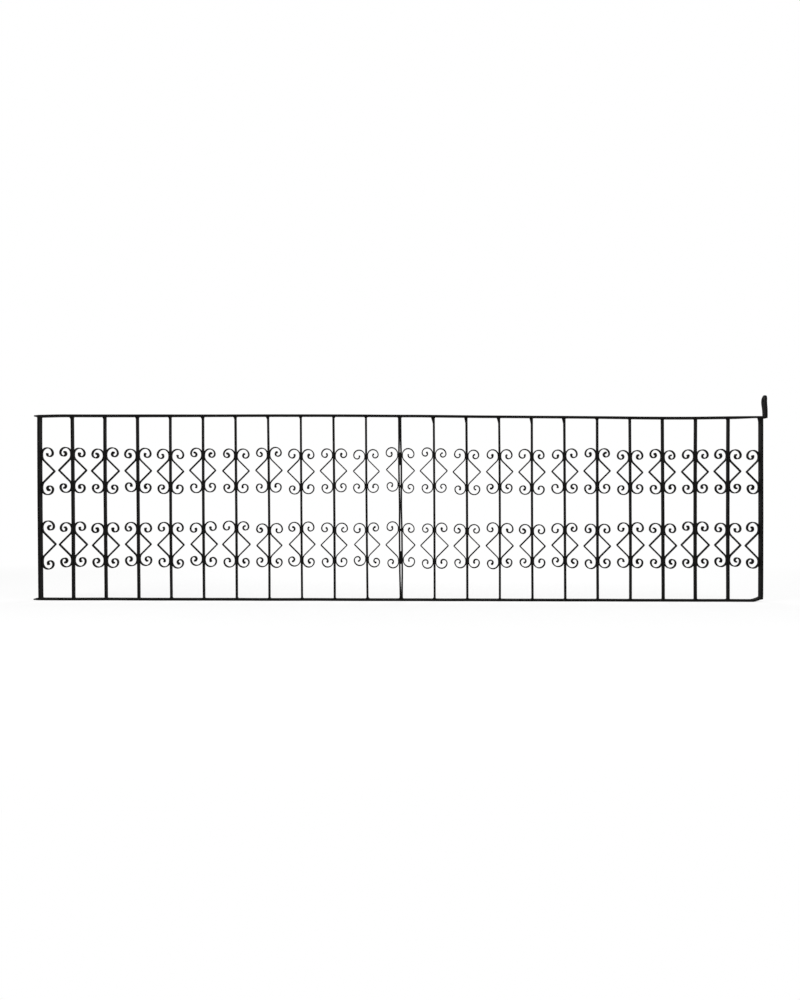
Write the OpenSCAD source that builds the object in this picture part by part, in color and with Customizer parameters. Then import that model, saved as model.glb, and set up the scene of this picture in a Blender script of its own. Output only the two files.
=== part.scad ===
// Wrought iron balustrade: two panels of flat uprights between flat rails, joined at mid length.
// Each bay holds two tiers of folded strips, and each strip curls into a scroll at both ends.
// The origin lies under the bottom rails at the joint, +X runs along the rails and +Z is up.

/* [Panel] */
// Height over both rails
panel_h = 930; // [830:5:1200]
// Spacing of neighbouring uprights
bar_pitch = 164; // [150:1:240]
// Uprights of one panel between its joining bar and its end bar
infill_bars = 10; // [2:1:12]

/* [Frame iron] */
// Width of the flat iron of the rails, the end bars and the lug
frame_w = 45; // [34:1:60]
// Thickness of the flat iron of the rails, the end bars and the lug
frame_t = 10; // [6:0.5:14]
// Length of the left rails past the end bar, let into the wall
stub_l = 20; // [5:1:80]

/* [Upright iron] */
// Width of the infill and joining bars
bar_w = 28; // [26:1:42]
// Thickness of the infill bars
bar_t = 10; // [5:0.5:14]

/* [Joint of the panels] */
// Thickness of the joining bars
joining_t = 8; // [5:0.5:14]
// Gap between the two joining bars
joint_gap = 3; // [2:0.5:12]
// Length of the packing plates
packing_l = 64; // [30:1:90]
// Width of the packing plates
packing_w = 20; // [10:1:26]
// Distance of the packing plates' middle from the middle of the strips' contact, towards the folds
packing_drop = 15; // [0:1:25]
// Diameter of the round spacers
spacer_d = 14; // [8:0.5:25]

/* [Wall lug] */
// Length of the right top rail between the end bar and the lug
lug_set_off = 14; // [4:1:60]
// Height of the lug over the top rail
lug_rise = 102; // [50:1:160]
// Diameter of the bolt hole in the lug
lug_hole_d = 11; // [6:0.5:18]

/* [Scroll strips] */
// Height of a tier's middle from the nearer outer face of the rails
tier_inset = 279; // [140:1:340]
// Width of the strip
strip_w = 22; // [14:1:26]
// Thickness of the strip
strip_t = 5.5; // [3:0.5:6]
// Reach of the fold from the face of the upright
fold_reach = 63; // [52:0.5:72]
// Radius of the fold at mid thickness
fold_r = 3.2; // [3.1:0.1:8]
// Radius of the bend where the strip leaves the upright, at mid thickness
bend_r = 30; // [15:0.5:40]
// Length of the strip that lies flat on the upright
contact_l = 11; // [4:0.5:40]
// Largest radius of the scroll, at mid thickness
scroll_r = 28; // [20:0.5:34]
// Turn of the scroll's last and smallest arc, in degrees
last_turn = 60; // [30:1:88]
// Diameter of the rolled end of the scroll
snub_d = 9; // [6.5:0.5:11]

/* [Hidden] */
$fn = 64;
SIDES = ["left", "right"];
TIERS = ["upper", "lower"];
iron = "#1f1d1c";

// Radius of each quarter turn of the scroll as a share of the largest
scroll_shares = [1, 0.93, 0.71, 0.46, 0.28];
// Flats in each rounding of the folded part
round_steps = 3;
// Rounding step of the places where arcs meet
meet_step = 0.001;
// Overrun of a cut past the faces that it goes through
cut_over = 1;

last_bar = infill_bars + 1;
bar_h = panel_h - 2 * frame_t;
joining_x = (joint_gap + joining_t) / 2;
end_face_x = joining_x + last_bar * bar_pitch + frame_t / 2;
lug_x = end_face_x + lug_set_off;
lug_h = frame_t + lug_rise;
lug_hole_h = lug_h - frame_w / 2;
bend_x = strip_t / 2 + bend_r;
fold_x = fold_reach - strip_t / 2 - fold_r;
bend_h = fold_x - bend_x + sqrt(2) * (fold_r + bend_r);
scroll_h = meet(bend_h + contact_l);
contact_h = bend_h + contact_l / 2;
last_arc = len(scroll_shares) - 1;

// Place of an upright's middle, counted from the joining bar
function bar_x(place) = joining_x + place * bar_pitch;

// Half the thickness of the upright at a place
function half_t(place) = (place == last_bar ? frame_t : place == 0 ? joining_t : bar_t) / 2;

// Height of the middle of a tier
function tier_z(tier) = tier == "upper" ? panel_h - tier_inset : tier_inset;

// Direction away from the panel's middle in which a tier's outer scrolls lie
function outward(tier) = tier == "upper" ? 1 : -1;

// A value on the rounding step, so that neighbouring arcs share their end faces
function meet(value) = round(value / meet_step) * meet_step;

// Radius of one arc of the scroll at mid thickness
function arc_r(i) = meet(scroll_r * scroll_shares[i]);

// Unit vector at an angle
function heading(angle) = [cos(angle), sin(angle)];

// Centre of one arc of the scroll, on the line through the end of the arc before it
function arc_centre(i) = i == 0
    ? [strip_t / 2 + arc_r(0), scroll_h]
    : arc_centre(i - 1) + (arc_r(i - 1) - arc_r(i)) * heading(90 - 90 * (i - 1));

// Points along a rounding
function round_points(centre, r, from, to) =
    [for (i = [0 : round_steps]) centre + r * heading(from + (to - from) * i / round_steps)];

// One surface of the folded part, from its upper end down to the fold
function half_surface(x, offset_r) = concat(
    [[x, scroll_h]],
    round_points([bend_x, bend_h], bend_r + offset_r, 180, 225),
    round_points([fold_x, 0], fold_r - offset_r, 45, 0));

// The same surface below the fold
function below(points) = [for (p = points) [p.x, -p.y]];

// Points in reverse order
function reversed(points) = [for (i = [len(points) - 1 : -1 : 0]) points[i]];

function numbered(stem, side, i) = str(stem, "_", side, "_", i < 10 ? "0" : "", i);

// Builds one panel's piece on its own side of the joint
module on_side(side)
    mirror([side == "left" ? 1 : 0, 0, 0]) children();

// A flat rail from the joint to its outer end
module rail(length, z)
    color(iron)
    translate([0, -frame_w / 2, z])
    cube([length, frame_w, frame_t]);

module top_rail(side)
    on_side(side)
    rail(side == "left" ? end_face_x + stub_l : lug_x, panel_h - frame_t);

module bottom_rail(side)
    on_side(side)
    rail(side == "left" ? end_face_x + stub_l : end_face_x, 0);

// A flat upright between the rails
module upright(place, width)
    color(iron)
    translate([bar_x(place) - half_t(place), -width / 2, frame_t])
    cube([2 * half_t(place), width, bar_h]);

module end_bar(side)
    on_side(side) upright(last_bar, frame_w);

module joining_bar(side)
    on_side(side) upright(0, bar_w);

module infill_bar(side, i)
    on_side(side) upright(i, bar_w);

// The folded part of a strip, drawn with the upright's face at x = 0
module folded_part() {
    face = half_surface(strip_t, -strip_t / 2);
    back = half_surface(0, strip_t / 2);
    outline = concat(face, reversed(below(face)), below(back), reversed(back));
    linear_extrude(strip_w, center = true) polygon(outline);
}

// One arc of the scroll, turning inwards from the arc before it
module scroll_arc(i) {
    turn = i == last_arc ? last_turn : 90;
    translate(concat(arc_centre(i), [0]))
    rotate_extrude(angle = turn, start = 180 - 90 * i - turn)
    translate([arc_r(i) - strip_t / 2, -strip_w / 2])
    square([strip_t, strip_w]);
}

// The rolled end in the eye of the scroll
module snub_end()
    translate(concat(arc_centre(last_arc) + arc_r(last_arc) * heading(180 - 90 * last_arc - last_turn), [0]))
    cylinder(h = strip_w, d = snub_d, center = true);

module scroll() {
    for (i = [0 : last_arc]) scroll_arc(i);
    snub_end();
}

// A whole strip: the fold points away from the upright and a scroll curls over each end
module strip()
    rotate([90, 0, 0])
    union() {
        folded_part();
        scroll();
        mirror([0, 1, 0]) scroll();
    }

// The strips of one tier on one side, two in each bay
module scrolls(tier, side)
    color(iron)
    on_side(side)
    for (bay = [0 : infill_bars]) {
        translate([bar_x(bay) + half_t(bay), 0, tier_z(tier)])
            strip();
        translate([bar_x(bay + 1) - half_t(bay + 1), 0, tier_z(tier)])
            mirror([1, 0, 0]) strip();
    }

// A plate that packs the joint behind a tier's outer scrolls
module packing(tier)
    color(iron)
    translate([0, 0, tier_z(tier) + outward(tier) * (contact_h - packing_drop)])
    cube([joint_gap, packing_w, packing_l], center = true);

// A round spacer that packs the joint behind a tier's inner scrolls
module spacer(tier)
    color(iron)
    translate([0, 0, tier_z(tier) - outward(tier) * contact_h])
    rotate([0, 90, 0])
    cylinder(h = joint_gap, d = spacer_d, center = true);

// The upturned lug with its bolt hole, butted to the end of the right top rail
module wall_lug()
    color(iron)
    translate([lug_x, 0, panel_h - frame_t])
    rotate([90, 0, 90])
    difference() {
        linear_extrude(frame_t) {
            translate([-frame_w / 2, 0]) square([frame_w, lug_hole_h]);
            translate([0, lug_hole_h]) circle(d = frame_w);
        }
        translate([0, lug_hole_h, -cut_over])
            cylinder(h = frame_t + 2 * cut_over, d = lug_hole_d);
    }

for (side = SIDES) {
    top_rail(side);
    bottom_rail(side);
    end_bar(side);
    joining_bar(side);
    for (i = [1 : infill_bars])
        infill_bar(side, i);
    for (tier = TIERS)
        scrolls(tier, side);
}
for (tier = TIERS) {
    packing(tier);
    spacer(tier);
}
wall_lug();
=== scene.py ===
"""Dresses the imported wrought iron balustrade: forged shapes, brushed paint, a white studio and the camera."""
import logging
import math
import random
from collections.abc import Callable, Sequence
from dataclasses import dataclass, field, replace
from enum import Enum
from typing import Any

import bpy
import numpy as np
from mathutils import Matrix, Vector

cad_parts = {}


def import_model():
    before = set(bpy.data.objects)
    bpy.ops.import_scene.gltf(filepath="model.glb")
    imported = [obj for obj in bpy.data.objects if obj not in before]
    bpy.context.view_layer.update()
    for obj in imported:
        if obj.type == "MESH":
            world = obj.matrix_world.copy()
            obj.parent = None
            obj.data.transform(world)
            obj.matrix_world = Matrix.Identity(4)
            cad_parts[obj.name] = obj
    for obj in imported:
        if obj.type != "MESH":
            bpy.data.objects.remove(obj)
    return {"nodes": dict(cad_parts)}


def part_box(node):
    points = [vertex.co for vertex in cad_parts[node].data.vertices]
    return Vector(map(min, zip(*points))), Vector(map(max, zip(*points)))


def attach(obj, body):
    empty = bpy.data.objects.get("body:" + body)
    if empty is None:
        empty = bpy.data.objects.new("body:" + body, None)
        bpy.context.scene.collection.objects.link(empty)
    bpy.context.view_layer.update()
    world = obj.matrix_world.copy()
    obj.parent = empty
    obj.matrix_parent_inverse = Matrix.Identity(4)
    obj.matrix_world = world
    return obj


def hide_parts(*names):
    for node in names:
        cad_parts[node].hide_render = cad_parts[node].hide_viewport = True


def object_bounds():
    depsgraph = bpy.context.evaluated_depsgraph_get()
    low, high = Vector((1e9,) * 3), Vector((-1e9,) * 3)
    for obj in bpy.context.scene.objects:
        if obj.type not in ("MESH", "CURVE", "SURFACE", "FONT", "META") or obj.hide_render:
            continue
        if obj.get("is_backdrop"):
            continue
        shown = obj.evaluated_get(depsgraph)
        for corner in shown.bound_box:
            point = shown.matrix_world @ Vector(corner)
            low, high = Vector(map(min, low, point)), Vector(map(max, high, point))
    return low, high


LOG = logging.getLogger("balustrade")
BODY = "root"
MM = 0.001

Colour = tuple[float, float, float, float]
WHITE: Colour = (1.0, 1.0, 1.0, 1.0)
ALONG = Vector((1, 0, 0))
THROUGH = Vector((0, 1, 0))
UPWARD = Vector((0, 0, 1))
TINY = 1e-6
QUARTER = 90.0  # degrees
SLANT = 45.0  # degrees
FRAME_COAT: Colour = (0.0054, 0.0052, 0.0050, 1.0)
BAR_COAT: Colour = (0.0056, 0.0054, 0.0052, 1.0)
SCROLL_COAT: Colour = (0.0060, 0.0057, 0.0054, 1.0)
SCROLL_DENTS = 15 * MM


class Side(Enum):
    """The panel that a piece belongs to, its direction away from the joint and the lean of its uprights."""

    LEFT = ("left", -1, 4.4 * MM)
    RIGHT = ("right", 1, 2.9 * MM)

    def __init__(self, word: str, out: int, lean: float) -> None:
        """Keeps what tells the panels apart.

        Args:
            word: Word used in the names of nodes.
            out: Sign of X away from the joint.
            lean: Lean of its uprights either way of mid height.
        """
        self.word = word
        self.out = out
        self.lean = lean


class Tier(Enum):
    """The tiers of scrolls, by the word in the names of their nodes."""

    UPPER = "upper"
    LOWER = "lower"


class Rail(Enum):
    """The rails of a panel, by the first words of their nodes."""

    TOP = "top_rail"
    BOTTOM = "bottom_rail"


class Slot(Enum):
    """The record's material slots."""

    FRAME = "frame_paint"
    BAR = "bar_paint"
    SCROLL = "scroll_paint"


class Mark(Enum):
    """Vertex marks that the paint reads."""

    GRAIN = "grain"
    EDGE = "edge"
    JOINT = "joint"


class Wire:
    """An output of a node that Python's operators can work on; each operation adds a Math node."""

    def __init__(self, sheet: "NodeSheet", node: bpy.types.Node, output: str | int = 0) -> None:
        """Wraps one output of a node.

        Args:
            sheet: The sheet that the node is on.
            node: The node.
            output: Name or number of its output.
        """
        self.sheet = sheet
        self.node = node
        self.output = output

    @property
    def socket(self) -> bpy.types.NodeSocket:
        """The wrapped output socket."""
        return self.node.outputs[self.output]

    def __getitem__(self, output: str | int) -> "Wire":
        """Another output of the same node."""
        return Wire(self.sheet, self.node, output)

    def _math(self, operation: str, first: "Wire | float", second: "Wire | float") -> "Wire":
        """Adds a Math node that works on two values."""
        return self.sheet.add("ShaderNodeMath", {"operation": operation}, {0: first, 1: second})

    def __add__(self, other: "Wire | float") -> "Wire":
        """This value plus another, in either order."""
        return self._math("ADD", self, other)

    __radd__ = __add__

    def __sub__(self, other: "Wire | float") -> "Wire":
        """This value less another."""
        return self._math("SUBTRACT", self, other)

    def __rsub__(self, other: float) -> "Wire":
        """A number less this value."""
        return self._math("SUBTRACT", other, self)

    def __mul__(self, other: "Wire | float") -> "Wire":
        """This value times another, in either order."""
        return self._math("MULTIPLY", self, other)

    __rmul__ = __mul__

    def __or__(self, other: "Wire") -> "Wire":
        """The larger of two masks."""
        return self._math("MAXIMUM", self, other)


class NodeSheet:
    """The node tree of a material or of the world, filled node by node."""

    def __init__(self, tree: bpy.types.NodeTree) -> None:
        """Takes a tree and empties it."""
        tree.nodes.clear()
        self.tree = tree

    def add(self, kind: str, settings: dict[str, Any] | None = None,
            sockets: dict[str | int, Any] | None = None, output: str | int = 0) -> Wire:
        """Adds a node.

        Args:
            kind: Type of the node.
            settings: Properties of the node, set first.
            sockets: Values of its inputs, or the wires that feed them.
            output: The output to wrap.

        Returns:
            The wire from that output.
        """
        node = self.tree.nodes.new(kind)
        for name, value in (settings or {}).items():
            setattr(node, name, value)
        for key, value in (sockets or {}).items():
            if isinstance(value, Wire):
                self.tree.links.new(value.socket, node.inputs[key])
            else:
                node.inputs[key].default_value = value
        return Wire(self, node, output)

    def step(self, value: Wire, low: float, high: float) -> Wire:
        """Turns a value into a soft mask.

        Args:
            value: The value to test.
            low: Where the mask is 0.
            high: Where the mask is 1.

        Returns:
            The mask.
        """
        return self.add("ShaderNodeMapRange", {"interpolation_type": "SMOOTHSTEP"},
                        {"Value": value, "From Min": low, "From Max": high})

    def noise(self, vector: Wire, size: float, detail: float) -> Wire:
        """Adds a noise.

        Args:
            vector: Place that the noise is read at.
            size: Size of its spots, in the vector's unit.
            detail: Number of finer layers.

        Returns:
            The noise, about 0.5 in the mean.
        """
        return self.add("ShaderNodeTexNoise", {}, {"Vector": vector, "Scale": 1 / size, "Detail": detail})

    def tint(self, mask: Wire, first: "Wire | Colour", second: "Wire | Colour") -> Wire:
        """Blends two colours.

        Args:
            mask: Share of the second colour.
            first: Colour where the mask is 0.
            second: Colour where the mask is 1.

        Returns:
            The blended colour.
        """
        # Mix lists its sockets for values and vectors before those for colours.
        return self.add("ShaderNodeMix", {"data_type": "RGBA"}, {0: mask, 6: first, 7: second}, 2)


@dataclass(frozen=True)
class ForgedPaint:
    """Black paint brushed by hand over forged iron, thin on the corners and rusty beside the joints."""

    name: str
    coat: Colour
    faded: Colour = (0.0078, 0.0075, 0.0071, 1.0)
    thin: Colour = (0.020, 0.017, 0.015, 1.0)
    rust: Colour = (0.020, 0.010, 0.006, 1.0)
    dust: Colour = (0.022, 0.020, 0.018, 1.0)
    roughness: float = 0.68
    gloss: float = 0.03
    dent_size: float = 22 * MM
    dent_depth: float = 0.32 * MM
    pit_size: float = 1.7 * MM
    pit_depth: float = 0.03 * MM
    stroke_length: float = 45 * MM
    stroke_width: float = 1.3 * MM
    stroke_depth: float = 0.022 * MM
    patch_size: float = 90 * MM
    fade_stroke: float = 0.35  # share of the strokes
    fade_from_to: tuple[float, float] = (0.55, 0.95)
    wear_by: tuple[float, float, float] = (0.5, 0.6, 0.35)  # shares of corners, patches and pits
    wear_from_to: tuple[float, float] = (1.04, 1.20)
    wear_cover: float = 0.8
    rust_by: tuple[float, float, float] = (0.42, 0.55, 0.4)  # shares of joints, patches and pits
    rust_from_to: tuple[float, float] = (0.97, 1.12)
    rust_cover: float = 0.75
    rust_pits: float = 2.0
    level_from_to: tuple[float, float] = (0.55, 0.95)
    dust_pit: float = 0.3  # share of the pits
    dust_from_to: tuple[float, float] = (0.45, 0.85)
    dust_cover: float = 0.6
    stroke_rough: float = 0.16
    fade_rough: float = 0.12
    rust_rough: float = 0.22
    dust_rough: float = 0.18
    wear_polish: float = 0.08

    def material(self) -> bpy.types.Material:
        """Builds the material.

        Returns:
            The new material.
        """
        made = bpy.data.materials.new(self.name)
        made.use_nodes = True
        sheet = NodeSheet(made.node_tree)
        place = sheet.add("ShaderNodeTexCoord", output="Object")
        grain = sheet.add("ShaderNodeAttribute", {"attribute_name": Mark.GRAIN.value}, output="Vector")
        edge = sheet.add("ShaderNodeAttribute", {"attribute_name": Mark.EDGE.value}, output="Fac")
        joint = sheet.add("ShaderNodeAttribute", {"attribute_name": Mark.JOINT.value}, output="Fac")
        facing = sheet.add("ShaderNodeNewGeometry", output="Normal")
        upward = sheet.add("ShaderNodeSeparateXYZ", {}, {0: facing}, "Z")

        along = (1 / self.stroke_length, 1 / self.stroke_width, 1 / self.stroke_width)
        brushed = sheet.add("ShaderNodeVectorMath", {"operation": "MULTIPLY"}, {0: grain, 1: along})
        dents = sheet.noise(place, self.dent_size, detail=1.0)
        pits = sheet.noise(place, self.pit_size, detail=3.0)
        strokes = sheet.noise(brushed, size=1.0, detail=2.0)
        patches = sheet.noise(place, self.patch_size, detail=4.0)

        faded = sheet.step(patches + self.fade_stroke * strokes, *self.fade_from_to)
        by_edge, by_patch, by_pit = self.wear_by
        worn = sheet.step(edge * by_edge + patches * by_patch + pits * by_pit, *self.wear_from_to)
        by_joint, by_patch, by_pit = self.rust_by
        rusty = sheet.step(joint * by_joint + patches * by_patch + pits * by_pit, *self.rust_from_to)
        level = sheet.step(upward, *self.level_from_to)
        dusty = level * sheet.step(patches + self.dust_pit * pits, *self.dust_from_to)

        colour = sheet.tint(faded, self.coat, self.faded)
        colour = sheet.tint(worn * self.wear_cover, colour, self.thin)
        colour = sheet.tint(rusty * self.rust_cover, colour, self.rust)
        colour = sheet.tint(dusty * self.dust_cover, colour, self.dust)
        rough = (self.roughness + self.stroke_rough * (strokes - 0.5) + self.fade_rough * faded
                 + self.rust_rough * rusty + self.dust_rough * dusty - self.wear_polish * worn)
        height = (self.dent_depth * dents + self.pit_depth * (1 + self.rust_pits * rusty) * pits
                  + self.stroke_depth * strokes)
        bump = sheet.add("ShaderNodeBump", {}, {"Strength": 1.0, "Distance": 1.0, "Height": height})
        shader = sheet.add("ShaderNodeBsdfPrincipled", {}, {
            "Base Color": colour, "Roughness": rough, "Normal": bump, "Specular IOR Level": self.gloss})
        sheet.add("ShaderNodeOutputMaterial", {}, {"Surface": shader})
        return made


class Hand:
    """The small differences of hand work, the same on each run."""

    SPAN_SPREAD = 0.2

    def __init__(self, *key: object) -> None:
        """Seeds the differences of one piece by its key."""
        self.dice = random.Random("/".join(str(part) for part in key))

    def vary(self, most: float) -> float:
        """A difference of at most that much either way."""
        return self.dice.uniform(-most, most)

    def wave(self, most: float, length: float, count: int = 3) -> Callable[[np.ndarray], np.ndarray]:
        """Makes a gentle waviness.

        Args:
            most: Largest amplitude of each wave.
            length: Length of the longest wave.
            count: Number of waves laid over each other.

        Returns:
            A function from places along the iron to offsets.
        """
        waves = []
        for layer in range(1, count + 1):
            size = self.vary(most) / layer
            span = length / layer * (1 + self.vary(self.SPAN_SPREAD))
            waves.append((size, span, self.vary(math.pi)))
        return lambda run: sum(size * np.sin(math.tau * run / span + start) for size, span, start in waves)


def ease(value: np.ndarray | float) -> np.ndarray:
    """Turns a share into a soft step from 0 to 1."""
    share = np.clip(value, 0, 1)
    return share * share * (3 - 2 * share)


def near(run: np.ndarray, places: Sequence[float], reach: float) -> np.ndarray:
    """Marks what lies close to some places.

    Args:
        run: Places to mark.
        places: The centres.
        reach: Distance at which the mark has faded.

    Returns:
        The mark, from 0 to 1, for each place.
    """
    gaps = np.abs(np.asarray(run)[:, None] - np.asarray(places)[None, :])
    return np.exp(-((gaps / reach) ** 2)).max(axis=1)


class Forging:
    """A mesh in the making, with the marks that the paint reads on each vertex."""

    def __init__(self) -> None:
        """Starts with no vertices."""
        self.points: list[np.ndarray] = []
        self.marks: dict[Mark, list[np.ndarray]] = {mark: [] for mark in Mark}
        self.faces: list[Sequence[int]] = []
        self.count = 0

    def loft(self, rings: np.ndarray, grain: np.ndarray, edge: np.ndarray, joint: np.ndarray,
             closed: bool = False) -> None:
        """Joins rings of points into a closed skin.

        Args:
            rings: Points by station, place on the ring and coordinate.
            grain: Place along and across the iron for each point.
            edge: Corner mark for each point.
            joint: Joint mark for each point.
            closed: Whether the last ring joins the first; otherwise both get caps.
        """
        stations, size = rings.shape[:2]
        index = np.arange(stations * size).reshape(stations, size)
        after = np.roll(index, -1, axis=0)
        if not closed:
            index, after = index[:-1], after[:-1]
        quads = np.stack([index, np.roll(index, -1, axis=1), np.roll(after, -1, axis=1), after], axis=-1)
        faces = quads.reshape(-1, 4).tolist()
        if not closed:
            faces.append(list(range(size))[::-1])
            faces.append(list(range((stations - 1) * size, stations * size)))
        points = rings.reshape(-1, 3)
        if self.volume(points, faces) < 0:
            faces = [face[::-1] for face in faces]
        self.faces.extend([self.count + corner for corner in face] for face in faces)
        self.points.append(points)
        self.marks[Mark.GRAIN].append(np.broadcast_to(grain, rings.shape).reshape(-1, 3))
        self.marks[Mark.EDGE].append(np.broadcast_to(edge, rings.shape[:2]).ravel())
        self.marks[Mark.JOINT].append(np.broadcast_to(joint, rings.shape[:2]).ravel())
        self.count += len(points)

    def turned(self, centre: Vector, facing: int, profile: Sequence[tuple[float, float]], sides: int,
               edge: Sequence[float], joint: float, wobble: float = 0.0, hand: Hand | None = None) -> None:
        """Adds a turned shape with its axis along X.

        Args:
            centre: Where the axis starts.
            facing: Direction of the axis along X.
            profile: Distance along the axis and radius of each ring.
            sides: Number of sides.
            edge: Corner mark of each ring.
            joint: Joint mark of the shape.
            wobble: Share by which hammering moved the rings' points.
            hand: Source of the wobble.
        """
        angles = np.linspace(0, math.tau, sides, endpoint=False)
        round_about = np.array([1 + (hand.vary(wobble) if hand else 0) for _ in angles])
        rings = np.array([np.stack([np.full(sides, centre.x + facing * away),
                                    centre.y + radius * round_about * np.cos(angles),
                                    centre.z + radius * round_about * np.sin(angles)], axis=1)
                          for away, radius in profile])
        self.loft(rings, rings - np.array(centre), np.array(edge)[:, None], np.full((1, 1), joint))

    @staticmethod
    def volume(points: np.ndarray, faces: list[list[int]]) -> float:
        """Works out the volume inside a skin.

        Args:
            points: Its points.
            faces: Its faces.

        Returns:
            The volume, negative where the faces look inwards.
        """
        shifted = points - points.mean(axis=0)
        total = 0.0
        for size in {len(face) for face in faces}:
            group = np.array([face for face in faces if len(face) == size])
            for i in range(1, size - 1):
                a, b, c = (shifted[group[:, k]] for k in (0, i, i + 1))
                total += float(np.einsum("ij,ij->", a, np.cross(b, c)))
        return total / 6

    def piece(self, name: str, finish: bpy.types.Material, slot: Slot, *nodes: str) -> None:
        """Makes the object and puts it on the frame.

        Args:
            name: Name of the piece.
            finish: Its material.
            slot: The record's slot of its finish; not used.
            nodes: CAD nodes that it stands for.
        """
        mesh = bpy.data.meshes.new(name)
        mesh.from_pydata(np.concatenate(self.points).tolist(), [], self.faces)
        mesh.polygons.foreach_set("use_smooth", [True] * len(self.faces))
        for mark, parts in self.marks.items():
            vector = mark is Mark.GRAIN
            layer = mesh.attributes.new(mark.value, "FLOAT_VECTOR" if vector else "FLOAT", "POINT")
            values = np.concatenate(parts).astype(np.float32).ravel()
            layer.data.foreach_set("vector" if vector else "value", values)
        mesh.materials.append(finish)
        made = bpy.data.objects.new(name, mesh)
        bpy.context.scene.collection.objects.link(made)
        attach(made, BODY)
        if nodes:
            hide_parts(*nodes)
        LOG.info("%s: %d faces, for %s", name, len(self.faces), ", ".join(nodes) or "no node")


@dataclass(frozen=True)
class FlatIron:
    """The section of a flat bar with rounded corners."""

    thick: float
    wide: float
    corner: float = 0.9 * MM
    margin: float = 3.5  # corner radii
    edged_sides: bool = True
    flank_mark: float = 0.7
    most_corner: float = 0.45  # share of half the thickness
    end_steps: tuple[float, ...] = (0.0, 0.3, 1.0)  # corner radii
    end_draw: float = 0.9

    def outline(self) -> tuple[np.ndarray, np.ndarray, np.ndarray]:
        """Draws the ring of the section.

        Returns:
            The corner that each point belongs to, its offset from there in corner radii, and its mark.
        """
        signs, offsets, edges = [], [], []
        for quarter in range(4):
            first, last = (np.array([round(math.cos(a)), round(math.sin(a))])
                           for a in (quarter * math.pi / 2, (quarter + 1) * math.pi / 2))
            slant = (first + last) * math.sqrt(0.5)
            on_wide_face = quarter % 2 == 0
            ring = [(first, self.flank_mark), (slant, 1.0), (last, self.flank_mark)]
            if on_wide_face or self.edged_sides:
                ring.insert(0, (first - (self.margin - 1) * last, 0.0))
            if not on_wide_face or self.edged_sides:
                ring.append((last - (self.margin - 1) * first, 0.0))
            for offset, edge in ring:
                signs.append(first + last)
                offsets.append(offset)
                edges.append(edge)
        return np.array(signs), np.array(offsets), np.array(edges)

    def sweep(self, forging: Forging, path: np.ndarray, over: np.ndarray, across: np.ndarray,
              run: np.ndarray, joint: np.ndarray, inset: np.ndarray | float = 0.0,
              swell: np.ndarray | float = 1.0) -> None:
        """Draws the section along a path.

        Args:
            forging: The mesh to add to.
            path: Points of the path.
            over: Direction of the thickness at each point.
            across: Direction of the width at each point.
            run: Length along the iron at each point.
            joint: Joint mark at each point.
            inset: How far the section draws in at each point, to round an end.
            swell: Factor on the thickness at each point.
        """
        signs, offsets, edge = self.outline()
        ones = np.ones(len(path))
        half_t = self.thick / 2 * swell * ones - inset
        half_w = self.wide / 2 * ones - inset
        corner = np.minimum(self.corner, self.most_corner * half_t)
        a = signs[:, 0] * (half_t - corner)[:, None] + corner[:, None] * offsets[:, 0]
        b = signs[:, 1] * (half_w - corner)[:, None] + corner[:, None] * offsets[:, 1]
        rings = path[:, None, :] + a[..., None] * over[:, None, :] + b[..., None] * across[:, None, :]
        grain = np.stack([np.broadcast_to(run[:, None], a.shape), a, b], axis=-1)
        forging.loft(rings, grain, edge[None, :], joint[:, None])

    def bar(self, forging: Forging, start: float, end: float, spacing: float,
            place: Callable[[np.ndarray], np.ndarray], over: Vector, across: Vector,
            joints: Sequence[float], reach: float,
            taper: Callable[[np.ndarray], np.ndarray] = np.ones_like) -> None:
        """Draws a long bar with rounded ends.

        Args:
            forging: The mesh to add to.
            start: Where the bar starts along its run.
            end: Where it ends.
            spacing: Rough distance of its stations.
            place: Function from places along the run to points of the bar's middle.
            over: Direction of its thickness.
            across: Direction of its width.
            joints: Places of its joints along the run.
            reach: How far the marks of the joints spread.
            taper: Function from places along the run to the factor on the thickness.
        """
        soft = np.array(self.end_steps) * self.corner
        middle = np.linspace(start + 2 * self.corner, end - 2 * self.corner, round((end - start) / spacing))
        run = np.concatenate([start + soft, middle, end - soft[::-1]])
        inset = np.concatenate([soft[::-1] * self.end_draw, np.zeros(len(middle)), soft * self.end_draw])
        ones = np.ones((len(run), 1))
        self.sweep(forging, place(run), ones * np.array(over), ones * np.array(across), run,
                   near(run, joints, reach), inset, taper(run))


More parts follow.
